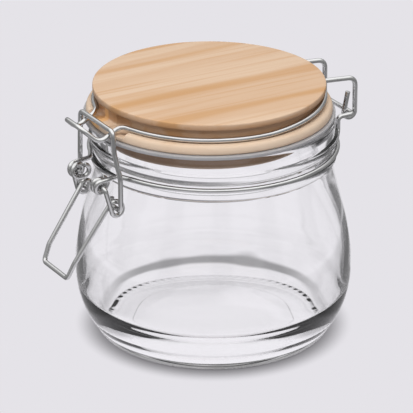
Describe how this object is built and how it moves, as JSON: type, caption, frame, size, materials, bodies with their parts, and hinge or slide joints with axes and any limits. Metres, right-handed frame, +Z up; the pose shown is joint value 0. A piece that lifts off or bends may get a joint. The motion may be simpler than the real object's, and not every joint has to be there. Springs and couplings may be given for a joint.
{
  "type": "clip-top storage jar",
  "caption": "Squat round-bellied glass storage jar with a turned wooden lid, a sealing ring, and bent wires that hinge the lid at the rear and clamp it with a lever at the front.",
  "frame": {"origin": "on the jar's axis, at the height of the surface that it stands on", "axes": "+Z up along the jar's axis, -Y towards the latch, +Y towards the hinge, +X to the right seen from the hinge"},
  "size_m": [0.112, 0.1332, 0.1051],
  "materials": {
    "clear_glass": "clear, polished",
    "bright_wire": "bright drawn wire",
    "silicone": "translucent grey",
    "pale_wood": "plain, turned, unvarnished"
  },
  "bodies": {
    "jar": {"glass_jar": "clear_glass", "neck_ring": "bright_wire"},
    "lid": {"wooden_lid": "pale_wood", "sealing_ring": "silicone", "lid_bail": "bright_wire"},
    "lever": {"latch_lever": "bright_wire"},
    "link": {"latch_link": "bright_wire"}
  },
  "joints": [
    {"name": "lid_swing", "type": "hinge", "parent": "jar", "child": "lid", "pos_m": [0, 0.0568, 0.0848], "axis": [-1, 0, 0], "range_deg": [0, 200]},
    {"name": "lever_swing", "type": "hinge", "parent": "jar", "child": "lever", "pos_m": [0, -0.0567, 0.0752], "axis": [-1, 0, 0], "range_deg": [0, 130]},
    {"name": "link_swing", "type": "hinge", "parent": "lever", "child": "link", "pos_m": [0, -0.05137, 0.0658], "axis": [-1, 0, 0], "range_deg": [-107, 0]}
  ],
  "couplings": [
    {"joint": "link_swing", "follows": "lever_swing", "ratio": -0.82}
  ]
}
